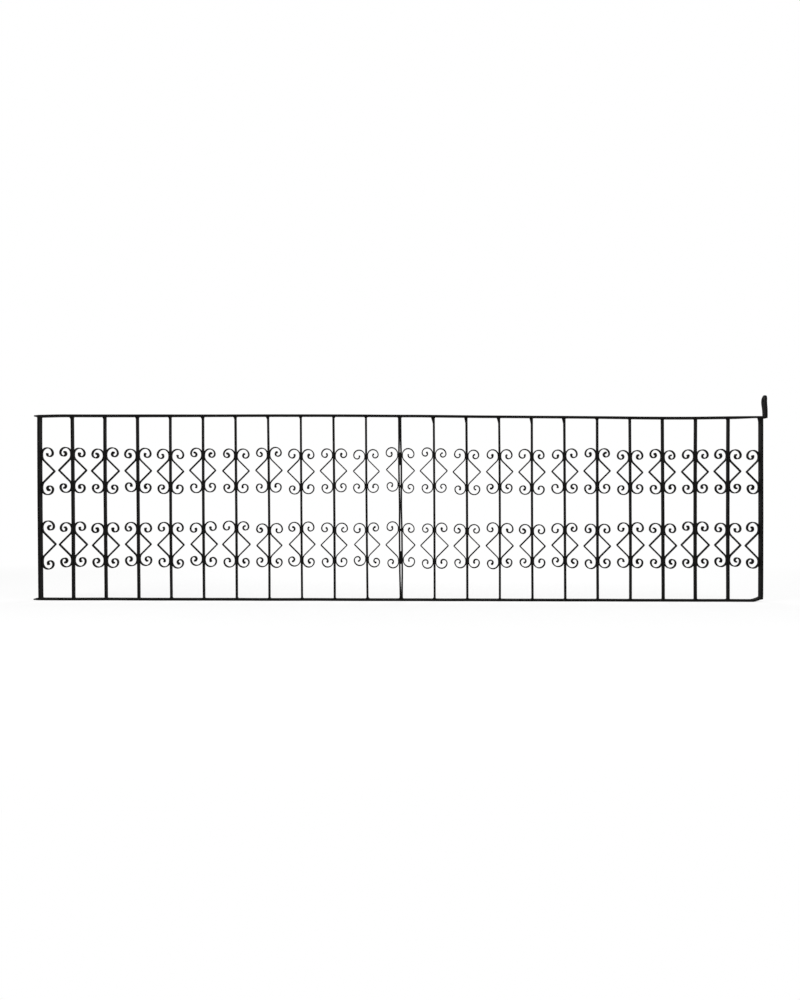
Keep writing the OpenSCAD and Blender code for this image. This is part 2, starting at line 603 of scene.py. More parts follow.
@dataclass
class Upright:
    """One upright flat between the rails, with the lean and bow that hand work left in it."""

    node: str
    side: Side
    place: int
    last: bool
    joining_lean: float = 5.0 * MM
    straight_lean: float = 1.1 * MM
    straight_from: int = 9
    lean_spread: float = 0.7 * MM
    bow_spread: float = 1.6 * MM
    slim: float = 1.6 * MM
    slim_places: tuple[int, int] = (3, 7)
    joining_extra: float = 0.75 * MM
    closed: float = 0.75 * MM
    spread: float = 1.0 * MM
    # Shares of the height at which the joining bars lie closed or spread
    closed_to: float = 0.04
    closed_at: tuple[float, float] = (0.49, 0.53)
    spread_from_to: tuple[float, float] = (0.14, 0.36)
    spread_again: tuple[float, float] = (0.70, 0.77)
    closed_from: float = 0.87
    let_in: float = 1.0 * MM
    depth_wave: float = 0.7 * MM
    wave_length: float = 0.7
    mark_reach: float = 14 * MM
    spacing: float = 22 * MM
    low: Vector = field(init=False)
    high: Vector = field(init=False)

    def __post_init__(self) -> None:
        """Reads the place of the upright off the frame and settles its own lean and bow."""
        self.low, self.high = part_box(self.node)
        hand = Hand("upright", self.node)
        joining = self.place == 0
        straight = self.side is Side.RIGHT and self.place >= self.straight_from
        lean = self.joining_lean if joining else self.straight_lean if straight else self.side.lean
        self.own_lean = lean + (0 if joining else hand.vary(self.lean_spread))
        self.own_bow = 0 if joining else hand.vary(self.bow_spread)
        self.own_squeeze = -self.side.out if joining else 0
        self.extra = self.joining_extra if joining else 0

    @property
    def middle(self) -> float:
        """X of the middle of the upright."""
        return (self.low.x + self.high.x) / 2

    @property
    def half(self) -> float:
        """Half the thickness of the upright; the flats at the middle of a panel are a little thinner."""
        first, last = self.slim_places
        return (self.high.x - self.low.x - self.slim * (first <= self.place <= last)) / 2

    def sway(self, z: np.ndarray | float) -> np.ndarray:
        """Works out how far the upright strays from a straight line.

        Args:
            z: Heights.

        Returns:
            Offsets along X at those heights.
        """
        share = np.clip((np.asarray(z) - self.low.z) / (self.high.z - self.low.z), 0, 1)
        shares = (self.closed_to, *self.spread_from_to, *self.closed_at, *self.spread_again, self.closed_from)
        apart, shut = [-self.spread] * 2, [self.closed] * 2
        moves = (self.closed, *apart, *shut, *apart, self.closed)
        squeeze = self.own_squeeze * np.interp(share, shares, moves)
        return self.own_lean * (1 - 2 * share) + self.own_bow * np.sin(math.pi * share) + squeeze

    def face(self, facing: int, z: np.ndarray | float) -> np.ndarray:
        """Works out where a face of the upright lies; a joining bar is thicker on its side to the joint.

        Args:
            facing: Direction of the face along X.
            z: Heights.

        Returns:
            X of the face at those heights.
        """
        extra = 0 if facing == self.side.out else self.extra
        return self.middle + facing * (self.half + extra) + self.sway(z)

    def build(self, finish: bpy.types.Material, contacts: Sequence[float]) -> None:
        """Builds the upright.

        Args:
            finish: Its material.
            contacts: Heights at which strips lie on it.
        """
        depth = Hand("depth", self.node).wave(self.depth_wave, self.wave_length)

        def place(z: np.ndarray) -> np.ndarray:
            """The middle of the upright at each height."""
            return np.stack([(self.face(-1, z) + self.face(1, z)) / 2, depth(z), z], axis=1)

        forging = Forging()
        flat = FlatIron(2 * self.half + self.extra, self.high.y - self.low.y)
        flat.bar(forging, self.low.z - self.let_in, self.high.z + self.let_in, self.spacing, place,
                 ALONG, THROUGH, [self.low.z, self.high.z, *contacts], self.mark_reach)
        slot = Slot.FRAME if self.last else Slot.BAR
        forging.piece(f"forged_{self.node}", finish, slot, self.node)


@dataclass
class Panel:
    """One panel: its uprights from the joint outwards and its two rails."""

    side: Side
    infill: int
    spacing: float = 12 * MM
    top_wave: float = 0.45 * MM
    bottom_wave: float = 1.1 * MM
    rise_length: float = 0.9
    drift_length: float = 0.8
    steady_run: float = 0.1
    mark_reach: float = 12 * MM
    upturn: float = 13 * MM
    upturn_run: float = 50 * MM
    droop: float = 2.6 * MM
    droop_run: float = 150 * MM
    crest: float = 3.8 * MM
    crest_x: float = -0.40
    crest_reach: float = 0.70
    sag: float = 4.6 * MM
    sag_x: float = 1.40
    sag_reach: float = 0.60
    sag_end_reach: float = 0.30
    heavy: float = 0.13  # share of the thickness
    heavy_from: float = 0.90
    heavy_run: float = 0.40
    thin_end: float = 0.42  # share of the thickness
    thin_run: float = 170 * MM
    point: float = 0.5  # share of the thickness
    point_run: float = 22 * MM
    uprights: list[Upright] = field(init=False)

    def __post_init__(self) -> None:
        """Sets the uprights between the rails, which are bent."""
        word = self.side.word
        nodes = [f"joining_bar_{word}"]
        nodes += [f"bar_{word}_{i:02d}" for i in range(1, self.infill + 1)]
        nodes.append(f"end_bar_{word}")
        self.uprights = [Upright(node, self.side, i, i == self.infill + 1) for i, node in enumerate(nodes)]
        for upright in self.uprights:
            upright.low.z += float(self.bend(Rail.BOTTOM, upright.middle))
            upright.high.z += float(self.bend(Rail.TOP, upright.middle))
            upright.high.z += float(self.thinned(Rail.TOP, upright.middle))

    def node(self, rail: Rail) -> str:
        """Name of the node of one rail."""
        return f"{rail.value}_{self.side.word}"

    def bend(self, rail: Rail, x: np.ndarray | float) -> np.ndarray:
        """Works out how far knocks and its own weight bent a rail.

        Args:
            rail: The rail.
            x: Places along the rail.

        Returns:
            Offsets along Z at those places.
        """
        low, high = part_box(self.node(rail))
        left = self.side is Side.LEFT
        if rail is Rail.BOTTOM:
            return np.zeros_like(x) if left else self.upturn * ease(1 + (x - high.x) / self.upturn_run)
        sag_reach = np.where(x < self.sag_x, self.sag_reach, self.sag_end_reach)
        bow = (self.crest * np.exp(-(((x - self.crest_x) / self.crest_reach) ** 2))
               - self.sag * np.exp(-(((x - self.sag_x) / sag_reach) ** 2)))
        return bow - (self.droop * ease(1 - (x - low.x) / self.droop_run) if left else 0)

    def thinned(self, rail: Rail, x: np.ndarray | float) -> np.ndarray:
        """Works out how much the right top rail loses on its underside, hammered thin towards the lug.

        Args:
            rail: The rail.
            x: Places along the rail.

        Returns:
            The lost thickness at those places.
        """
        low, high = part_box(self.node(rail))
        if self.side is Side.LEFT or rail is Rail.BOTTOM:
            return np.zeros_like(x)
        return self.thin_end * (high.z - low.z) * ease(1 + (x - high.x) / self.thin_run)

    def build_rail(self, rail: Rail, finish: bpy.types.Material) -> None:
        """Builds one rail.

        Args:
            rail: The rail.
            finish: Its material.
        """
        node = self.node(rail)
        low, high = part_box(node)
        hand = Hand("rail", node)
        rise = hand.wave(self.top_wave if rail is Rail.TOP else self.bottom_wave, self.rise_length)
        drift = hand.wave(self.top_wave, self.drift_length)

        def place(x: np.ndarray) -> np.ndarray:
            """Finds the middle of the rail; the bottom rail only rises off the ground.

            Args:
                x: Places along the rail.

            Returns:
                Points of its middle at those places.
            """
            away = np.clip(np.abs(x) / self.steady_run, 0, 1)
            stray = away * rise(x)
            lowest = stray.min() if rail is Rail.BOTTOM else 0
            z = (low.z + high.z) / 2 + stray - lowest + self.bend(rail, x)
            return np.stack([x, away * drift(x), z + self.thinned(rail, x) / 2], axis=1)

        def taper(x: np.ndarray) -> np.ndarray:
            """Works out the thickness; the top rail is heavier outwards and the left stubs are drawn out.

            Args:
                x: Places along the rail.

            Returns:
                The factor on the thickness at those places.
            """
            swell = self.heavy * (rail is Rail.TOP) * ease((np.abs(x) - self.heavy_from) / self.heavy_run)
            stub = self.side is Side.LEFT
            drawn = 1 - (1 - self.point) * np.clip(1 - (x - low.x) / self.point_run, 0, 1) * stub
            return (1 + swell - self.thinned(rail, x) / (high.z - low.z)) * drawn

        forging = Forging()
        flat = FlatIron(high.z - low.z, high.y - low.y)
        joints = [upright.middle for upright in self.uprights] + [low.x, high.x]
        flat.bar(forging, low.x, high.x, self.spacing, place, UPWARD, THROUGH, joints, self.mark_reach, taper)
        forging.piece(f"forged_{node}", finish, Slot.FRAME, node)


class Pen:
    """Draws a path by moving and turning, as a smith bends a strip."""

    def __init__(self, x: float, y: float, heading: float) -> None:
        """Starts at a point with a heading in degrees."""
        self.points = [(x, y)]
        self.heading = heading

    def turn(self, angle: float, radius: Callable[[float], float], steps: int) -> None:
        """Draws a bend in short arcs.

        Args:
            angle: Angle of the bend in degrees, positive to the left.
            radius: Function from the angle turned so far to the radius.
            steps: Number of arcs.
        """
        part = angle / steps
        for i in range(steps):
            chord = 2 * radius(abs(part) * (i + 0.5)) * math.sin(math.radians(abs(part) / 2))
            self.heading += part / 2
            self._move(chord)
            self.heading += part / 2

    def line(self, length: float, steps: int) -> None:
        """Draws a straight stretch in some steps."""
        for _ in range(steps):
            self._move(length / steps)

    def _move(self, length: float) -> None:
        """Moves along the heading and keeps the new point.

        Args:
            length: Length of the move.
        """
        x, y = self.points[-1]
        angle = math.radians(self.heading)
        self.points.append((x + length * math.cos(angle), y + length * math.sin(angle)))


@dataclass(frozen=True)
class ScrollForm:
    """The form of half a strip, from its fold to the eye of its scroll."""

    thick: float = 5.5 * MM
    reach: float = 63 * MM
    fold_r: float = 3.2 * MM
    bend_r: float = 30 * MM
    contact: float = 11 * MM
    scroll_r: float = 28 * MM
    shares: tuple[float, ...] = (1.0, 0.96, 0.60, 0.405, 0.32)  # of scroll_r, by quarter turn
    blend: float = 0.12  # share of a quarter turn
    turned: float = 390.0  # degrees
    hook: float = 1.32  # factor on the thickness at the eye
    hook_from: float = 220.0  # degrees
    snub: float = 1.42  # factor on the thickness of the hook
    snub_curve: float = 1.2  # factor on the last radius
    snub_end: float = 82.0  # degrees
    pressed: float = 0.74  # factor on the thickness at a rivet
    press_run: float = 17 * MM
    size_spread: float = 0.045
    contact_spread: float = 3.0 * MM
    least_contact: float = 3.0 * MM
    turn_spread: float = 34.0  # degrees
    hook_spread: float = 0.28
    share_spread: float = 0.04
    fold_steps: int = 3
    slope_steps: int = 6
    bend_steps: int = 5
    contact_steps: int = 4
    snub_steps: int = 9
    scroll_step: float = 10.0  # degrees

    @property
    def snub_r(self) -> float:
        """Radius of the lump that ends the strip."""
        return self.thick * self.hook / 2 * self.snub

    @property
    def bend_height(self) -> float:
        """Height over the fold at which the strip reaches the upright."""
        rise = self.reach - self.thick - self.fold_r - self.bend_r
        return rise + math.sqrt(2) * (self.fold_r + self.bend_r)

    @property
    def contact_height(self) -> float:
        """Height over the fold of the middle of the stretch on the upright."""
        return self.bend_height + self.contact / 2

    def varied(self, hand: Hand, longer: float) -> "ScrollForm":
        """Gives the form its own small differences.

        Args:
            hand: Source of the differences.
            longer: Extra length of the stretch on the upright.

        Returns:
            The new form.
        """
        size = 1 + hand.vary(self.size_spread)
        contact = self.contact + longer + hand.vary(self.contact_spread)
        turned = self.turned + hand.vary(self.turn_spread)
        hook = self.hook + hand.vary(self.hook_spread)
        shares = tuple(share * (1 + hand.vary(self.share_spread)) for share in self.shares)
        return replace(self, contact=max(contact, self.least_contact), scroll_r=self.scroll_r * size,
                       turned=turned, hook=hook, shares=shares)

    def curve(self, turned: float) -> float:
        """Radius of the scroll after some angle of its turn; each quarter has its own and they blend."""
        quarters = [i + part for i in range(len(self.shares)) for part in (self.blend, 1 - self.blend)]
        return self.scroll_r * float(np.interp(turned / QUARTER, quarters, np.repeat(self.shares, 2)))

    def path(self, reach: float) -> tuple[np.ndarray, np.ndarray]:
        """Draws the middle of half a strip, with the upright's face at x = 0 and the fold at y = 0.

        Args:
            reach: Reach of the fold, shared by both halves of a strip.

        Returns:
            The points, and the factor on the thickness at each point.
        """
        slope = (reach - self.thick - (self.fold_r + self.bend_r) * (1 - math.sqrt(0.5))) * math.sqrt(2)
        pen = Pen(reach - self.thick / 2, 0, QUARTER)
        pen.turn(SLANT, lambda _: self.fold_r, self.fold_steps)
        pen.line(slope, self.slope_steps)
        pen.turn(-SLANT, lambda _: self.bend_r, self.bend_steps)
        pen.line(self.contact, self.contact_steps)
        swell = [1.0] * len(pen.points)
        seat = len(pen.points) - 1 - self.contact_steps // 2
        steps = round(self.turned / self.scroll_step)
        pen.turn(-self.turned, self.curve, steps)
        angles = np.linspace(0, self.turned, steps + 1)[1:]
        swell.extend(1 + (self.hook - 1) * ease((angles - self.hook_from) / (self.turned - self.hook_from)))
        begin = math.asin(1 / self.snub) - math.pi / 2
        angles = np.linspace(begin, math.radians(self.snub_end), self.snub_steps)
        radius = self.curve(self.turned) * self.snub_curve
        for before, angle in zip(angles, angles[1:]):
            stride = self.snub_r * (math.sin(angle) - math.sin(before))
            pen.turn(-math.degrees(stride / radius), lambda _: radius, 1)
            swell.append(2 * self.snub_r * math.cos(angle) / self.thick)
        points = np.array(pen.points)
        run = np.concatenate([[0], np.cumsum(np.linalg.norm(np.diff(points, axis=0), axis=1))])
        flattened = (1 - self.pressed) * np.exp(-((run - run[seat]) / self.press_run) ** 2)
        points[:, 0] -= self.thick / 2 * flattened
        return points, np.array(swell) * (1 - flattened)


@dataclass(frozen=True)
class RivetHead:
    """A low rivet head, hammered by hand."""

    radius: float = 5.5 * MM
    height: float = 0.7 * MM
    radius_spread: float = 0.08
    height_spread: float = 0.15
    sunk: float = 0.4 * MM
    sunk_share: float = 0.98
    slopes: tuple[float, ...] = (0, 14, 34, 54, 72, 84)  # degrees
    edge: tuple[float, ...] = (0, 0.2, 0.3, 0.4, 0.5, 0.6, 0.6)
    joint: float = 0.6
    sides: int = 14
    wobble: float = 0.05

    def add(self, forging: Forging, centre: Vector, facing: int, hand: Hand) -> None:
        """Adds the head to a mesh.

        Args:
            forging: The mesh to add to.
            centre: Middle of its flat side.
            facing: Direction of the head along X.
            hand: Source of the marks of the hammer.
        """
        radius = self.radius * (1 + hand.vary(self.radius_spread))
        height = self.height * (1 + hand.vary(self.height_spread))
        profile = [(-self.sunk, radius * self.sunk_share)]
        for slope in self.slopes:
            angle = math.radians(slope)
            profile.append((height * math.sin(angle), radius * math.cos(angle)))
        forging.turned(centre, facing, profile, self.sides, self.edge, self.joint, self.wobble, hand)


@dataclass
class ScrollTier:
    """The strips of one tier on one panel, with the rivets that hold them."""

    tier: Tier
    panel: Panel
    form: ScrollForm = field(default_factory=ScrollForm)
    set_spread: float = 4.6 * MM
    joint_rise: float = 5.0 * MM
    reach_spread: float = 4.0 * MM
    end_reach: float = 3.5 * MM
    twist_spread: float = 0.9 * MM
    twist_length: float = 0.4
    corner: float = 0.8 * MM
    mark_reach: float = 12 * MM
    mark_depth: float = 8 * MM
    rivet: RivetHead = RivetHead()
    rivet_stray: float = 0.8 * MM

    def __post_init__(self) -> None:
        """Reads the tier's height and the strip's width off the frame."""
        self.node = f"scrolls_{self.tier.value}_{self.panel.side.word}"
        low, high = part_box(self.node)
        self.z = (low.z + high.z) / 2
        self.wide = high.y - low.y

    def set_height(self, upright: Upright) -> float:
        """Height at which the smith set the strips on one upright, a little higher at the joint."""
        rise = self.joint_rise if upright.place == 0 else 0
        return self.z + rise + Hand("set", self.tier.value, upright.node).vary(self.set_spread)

    def set_back(self, upright: Upright) -> float:
        """How far behind the middle the strips lie, flush with the back edge on the wide end bars."""
        return (upright.high.y - upright.low.y - self.wide) / 2 if upright.last else 0

    def contacts(self, upright: Upright) -> list[float]:
        """Heights of the rivets on one upright."""
        return [self.set_height(upright) + way * self.form.contact_height for way in (-1, 1)]

    def longer(self, upright: Upright, facing: int, way: int) -> float:
        """Works out the extra stretch of the few scrolls that plainly sit off their line.

        Args:
            upright: The upright that carries the strip.
            facing: Direction of the strip's fold along X.
            way: Direction of the scroll along Z.

        Returns:
            The extra length on the upright.
        """
        spot = (upright.node, facing, self.tier, way)
        return {("bar_left_07", 1, Tier.LOWER, -1): 9 * MM,
                ("end_bar_left", 1, Tier.UPPER, 1): 7 * MM,
                ("end_bar_left", 1, Tier.UPPER, -1): 8 * MM,
                ("end_bar_left", 1, Tier.LOWER, -1): 6 * MM,
                ("end_bar_right", -1, Tier.LOWER, -1): -8 * MM}.get(spot, 0.0)

    def add_strip(self, forging: Forging, upright: Upright, facing: int) -> None:
        """Adds one strip to the mesh.

        Args:
            forging: The mesh to add to.
            upright: The upright that carries the strip.
            facing: Direction of the strip's fold along X.
        """
        hand = Hand("strip", self.node, upright.node, facing)
        reach = self.form.reach + hand.vary(self.reach_spread) + (self.end_reach if upright.last else 0)
        lower = self.form.varied(hand, self.longer(upright, facing, -1)).path(reach)
        upper = self.form.varied(hand, self.longer(upright, facing, 1)).path(reach)
        flat = np.concatenate([lower[0][:0:-1] * (1, -1), upper[0]])
        swell = np.concatenate([lower[1][:0:-1], upper[1]])
        z = self.set_height(upright) + flat[:, 1]
        x = upright.middle + facing * (upright.half + flat[:, 0]) + upright.sway(z)
        run = np.concatenate([[0], np.cumsum(np.linalg.norm(np.diff(flat, axis=0), axis=1))])
        y = self.set_back(upright) + hand.wave(self.twist_spread, self.twist_length, count=2)(run)
        path = np.stack([x, y, z], axis=1)
        ahead = np.gradient(path[:, [0, 2]], axis=0)
        ahead /= np.linalg.norm(ahead, axis=1)[:, None]
        zeros = np.zeros(len(run))
        over = np.stack([-ahead[:, 1], zeros, ahead[:, 0]], axis=1)
        across = np.stack([zeros, zeros + 1, zeros], axis=1)
        close = near(z, self.contacts(upright), self.mark_reach)
        joint = close * np.exp(-((flat[:, 0] / self.mark_depth) ** 2))
        iron = FlatIron(self.form.thick, self.wide, self.corner, edged_sides=False)
        iron.sweep(forging, path, over, across, run, joint, swell=swell)

    def build_strips(self, finish: bpy.types.Material) -> None:
        """Builds all strips of the tier.

        Args:
            finish: Their material.
        """
        forging = Forging()
        out = self.panel.side.out
        for inner, outer in zip(self.panel.uprights, self.panel.uprights[1:]):
            self.add_strip(forging, inner, out)
            self.add_strip(forging, outer, -out)
        forging.piece(f"forged_{self.node}", finish, Slot.SCROLL, self.node)

    def build_rivets(self, finish: bpy.types.Material) -> None:
        """Builds the hammered rivet heads of the tier.

        Args:
            finish: Their material.
        """
        forging = Forging()
        out = self.panel.side.out
        for upright in self.panel.uprights:
            for z in self.contacts(upright):
                for facing in (-1, 1):
                    if upright.place == 0 and facing != out:
                        continue
                    bare = upright.last and facing == out
                    proud = 0 if bare else self.form.thick * self.form.pressed
                    x = float(upright.face(facing, z)) + facing * proud
                    hand = Hand("rivet", upright.node, self.tier.value, round(z / MM), facing)
                    y = self.set_back(upright) + hand.vary(self.rivet_stray)
                    self.rivet.add(forging, Vector((x, y, z)), facing, hand)
        forging.piece(f"rivets_{self.tier.value}_{self.panel.side.word}", finish, Slot.SCROLL)


@dataclass
class Welds:
    """Weld beads where the uprights meet one panel's rail."""

    panel: Panel
    rail: Rail
    leg: float = 5.4 * MM
    leg_spread: float = 1.6 * MM
    long_up: float = 29 * MM
    left_long_up: float = 15 * MM
    long_out: float = 7.5 * MM
    long_places: tuple[int, int] = (1, 5)  # first and last upright with a tall bead
    left_long_places: tuple[int, int] = (3, 10)
    hollow: float = 2.3  # power that makes the face hollow
    sunk: float = 0.6 * MM
    ripple: float = 2.6 * MM
    ripple_share: float = 0.09
    lump_share: float = 0.16
    length_share: float = 0.97
    end_power: int = 8
    end_over: float = 1.001
    end_least: float = 0.02
    slopes: tuple[float, ...] = (0, 18, 36, 54, 72, 90)  # degrees
    edge: tuple[float, ...] = (0, 0, 0.1, 0.3, 0.3, 0.1, 0)
    joint: float = 0.75
    stations: int = 26

    def bead(self, forging: Forging, x: float, z: float, facing: int, up: int, half: float, up_leg: float,
             out_leg: float, hand: Hand) -> None:
        """Adds one bead along Y in the corner of two irons.

        Args:
            forging: The mesh to add to.
            x: Place of the upright's face.
            z: Height of the rail's face.
            facing: Direction of the upright's face along X.
            up: Direction of the rail's face along Z.
            half: Half the length of the bead.
            up_leg: Leg on the upright.
            out_leg: Leg on the rail.
            hand: Source of its ripples.
        """
        y = np.linspace(-half, half, self.stations)
        start = hand.vary(math.pi)
        lump = hand.wave(self.lump_share, 2 * half, count=2)
        size = 1 + self.ripple_share * np.sin(math.tau * y / self.ripple + start) + lump(y)
        ends = 1 - (np.abs(y) / (half * self.end_over)) ** self.end_power
        size = size * np.sqrt(np.clip(ends, self.end_least, 1))
        angles = np.radians(self.slopes)
        out = np.array([-self.sunk, *(out_leg * np.cos(angles) ** self.hollow)])
        rise = np.array([-self.sunk, *(up_leg * np.sin(angles) ** self.hollow)])
        out[-1] = -self.sunk
        rise[1] = -self.sunk
        rings = np.stack([
            x + facing * np.where(out > 0, out * size[:, None], out),
            np.broadcast_to(y[:, None], (len(y), len(out))),
            z + up * np.where(rise > 0, rise * size[:, None], rise)], axis=-1)
        grain = rings - rings.mean(axis=(0, 1))
        forging.loft(rings, grain, np.array([self.edge]), np.full((1, 1), self.joint))

    def build(self, finish: bpy.types.Material) -> None:
        """Builds the beads along one rail.

        Args:
            finish: Their material.
        """
        node = self.panel.node(self.rail)
        low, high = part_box(node)
        top = self.rail is Rail.TOP
        left = self.panel.side is Side.LEFT
        first, last = self.left_long_places if left else self.long_places
        long_up = self.left_long_up if left else self.long_up
        z, up = (low.z, -1) if top else (high.z, 1)
        forging = Forging()
        for upright in self.panel.uprights:
            half = (upright.high.y - upright.low.y) / 2 * self.length_share
            for facing in (-1, 1):
                room = (high.x - upright.high.x) if facing > 0 else (upright.low.x - low.x)
                if room < self.leg:
                    continue
                hand = Hand("weld", upright.node, self.rail.value, facing)
                chosen = first <= upright.place <= last or upright.last and not left
                tall = top and facing < 0 and chosen
                wide = tall and not upright.last
                up_leg = (long_up if tall else self.leg) + hand.vary(self.leg_spread)
                out_leg = (self.long_out if wide else self.leg) + hand.vary(self.leg_spread)
                x = upright.face(facing, z)
                bent = z + float(self.panel.bend(self.rail, x) + self.panel.thinned(self.rail, x))
                self.bead(forging, float(x), bent, facing, up, half, up_leg, out_leg, hand)
        forging.piece(f"welds_{node}", finish, Slot.FRAME)


@dataclass
class PanelJoint:
    """What packs the gap between the two panels: plates and round spacers."""

    left: Upright
    right: Upright
    plate_corner: float = 0.6 * MM
    plate_spacing: float = 6 * MM
    mark_reach: float = 8 * MM
    spacer_soft: float = 0.5 * MM
    spacer_soft_step: float = 0.3
    spacer_sides: int = 28
    spacer_edge: tuple[float, ...] = (0.5, 1, 0.6, 0.6, 1, 0.5)
    spacer_joint: float = 0.7

    def gap(self, z: np.ndarray | float) -> np.ndarray:
        """Width of the gap at each height."""
        return self.right.face(-1, z) - self.left.face(1, z)

    def middle(self, z: np.ndarray | float) -> np.ndarray:
        """X of the middle of the gap at each height."""
        return (self.right.face(-1, z) + self.left.face(1, z)) / 2

    def build_packing(self, tier: Tier, finish: bpy.types.Material) -> None:
        """Builds the packing plate of one tier.

        Args:
            tier: The tier that it lies behind.
            finish: Its material.
        """
        node = f"packing_{tier.value}"
        low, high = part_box(node)
        forging = Forging()
        plate = FlatIron(high.x - low.x, high.y - low.y, self.plate_corner)

        def place(z: np.ndarray) -> np.ndarray:
            """The middle of the plate at each height."""
            return np.stack([self.middle(z), np.zeros(len(z)), z], axis=1)

        plate.bar(forging, low.z, high.z, self.plate_spacing, place, ALONG, THROUGH, [low.z, high.z],
                  self.mark_reach, lambda z: self.gap(z) / plate.thick)
        forging.piece(f"forged_{node}", finish, Slot.BAR, node)

    def build_spacer(self, tier: Tier, finish: bpy.types.Material) -> None:
        """Builds the round spacer of one tier.

        Args:
            tier: The tier that it lies behind.
            finish: Its material.
        """
        node = f"spacer_{tier.value}"
        low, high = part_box(node)
        forging = Forging()
        radius = (high.z - low.z) / 2
        soft = self.spacer_soft
        step = self.spacer_soft_step * soft
        z = (low.z + high.z) / 2
        length = float(self.gap(z))
        centre = Vector((float(self.left.face(1, z)), 0, z))
        profile = [(0, radius - soft), (step, radius - step), (soft, radius)]
        profile += [(length - away, around) for away, around in reversed(profile)]
        forging.turned(centre, 1, profile, self.spacer_sides, self.spacer_edge, self.spacer_joint)
        forging.piece(f"forged_{node}", finish, Slot.BAR, node)


@dataclass
class WallLug:
    """The upturned lug at the right end of the top rail, with its bolt hole."""

    hole_r: float = 5.5 * MM
    corner: float = 0.9 * MM
    lean: float = 4.6 * MM
    lean_at: float = 0.72  # share of the height
    lean_over: float = 0.28  # share of the height
    set_in: float = 3.0 * MM
    drawn_up: float = 4.3 * MM
    spread: float = 1.20  # factor on the width
    waist: float = 0.80  # share of the spread width left at the foot
    foot_mark: float = 12 * MM
    hole_mark: float = 5 * MM
    weld_leg: float = 5 * MM
    weld_share: float = 0.98
    stations: int = 96
    node: str = "wall_lug"

    def build(self, finish: bpy.types.Material) -> None:
        """Builds the lug.

        Args:
            finish: Its material.
        """
        low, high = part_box(self.node)
        half_w = (high.y - low.y) / 2 * self.spread
        top = high.z + self.drawn_up
        centre_z = top - half_w
        drop = centre_z - low.z
        foot = math.atan2(drop, half_w)
        corners = [-foot, -math.pi + foot]
        turn = np.linspace(-math.pi, math.pi, self.stations, endpoint=False)
        angles = np.sort(np.concatenate([turn, corners]))
        cosine, sine = np.cos(angles), np.sin(angles)
        to_side = half_w / np.maximum(np.abs(cosine), TINY)
        to_foot = drop / np.maximum(-sine, TINY)
        rim = np.where(sine >= 0, half_w, np.minimum(to_side, to_foot))
        outward = np.stack([np.zeros(len(angles)), cosine, sine], axis=1)
        middle = (rim + self.hole_r) / 2
        path = middle[:, None] * outward + np.array([(low.x + high.x) / 2, 0, centre_z])
        signs, offsets, edge = FlatIron(high.x - low.x, high.y - low.y, self.corner).outline()
        half_t = (high.x - low.x) / 2
        half_b = (rim - self.hole_r) / 2
        a = np.broadcast_to(signs[:, 0] * (half_t - self.corner) + self.corner * offsets[:, 0],
                            (len(angles), len(signs)))
        b = signs[:, 1] * (half_b - self.corner)[:, None] + self.corner * offsets[:, 1]
        rings = path[:, None, :] + b[..., None] * outward[:, None, :]
        share = (rings[..., 2] - low.z) / (top - low.z)
        lean = self.lean * np.exp(-(((share - self.lean_at) / self.lean_over) ** 2))
        rings[..., 0] += a - self.set_in - lean
        rings[..., 1] *= self.waist + (1 - self.waist) * ease((rings[..., 2] - low.z) / drop)
        grain = np.stack([rings[..., 2], a, rings[..., 1]], axis=-1)
        joint = np.maximum(np.exp(-(((rings[..., 2] - low.z) / self.foot_mark) ** 2)),
                           np.exp(-(((middle[:, None] + b - self.hole_r) / self.hole_mark) ** 2)))
        forging = Forging()
        forging.loft(rings, grain, edge[None, :], joint, closed=True)
        forging.piece("forged_wall_lug", finish, Slot.FRAME, self.node)

    def build_weld(self, welds: Welds, finish: bpy.types.Material) -> None:
        """Builds the bead between the lug and the top rail.

        Args:
            welds: The way that beads are made.
            finish: Its material.
        """
        low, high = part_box(self.node)
        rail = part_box("top_rail_right")[1]
        forging = Forging()
        half = (high.y - low.y) / 2 * self.spread * self.waist * self.weld_share
        x = low.x - self.set_in
        z = rail.z + float(welds.panel.bend(welds.rail, low.x))
        welds.bead(forging, x, z, -1, 1, half, self.weld_leg, self.weld_leg, Hand("weld", self.node))
        forging.piece("weld_of_wall_lug", finish, Slot.FRAME)


@dataclass(frozen=True)
class SoftLamp:
    """A large soft lamp aimed at the middle of the balustrade."""

    name: str
    place: tuple[float, float, float]
    size: float
    power: float

    def build(self, target: Vector) -> None:
        """Hangs the lamp and aims it.

        Args:
            target: Point that it is aimed at.
        """
        data = bpy.data.lights.new(self.name, "AREA")
        data.shape = "DISK"
        data.size = self.size
        data.energy = self.power
        lamp = bpy.data.objects.new(self.name, data)
        lamp.location = self.place
        lamp.rotation_mode = "QUATERNION"
        lamp.rotation_quaternion = (target - Vector(self.place)).to_track_quat("-Z", "Y")
        bpy.context.scene.collection.objects.link(lamp)


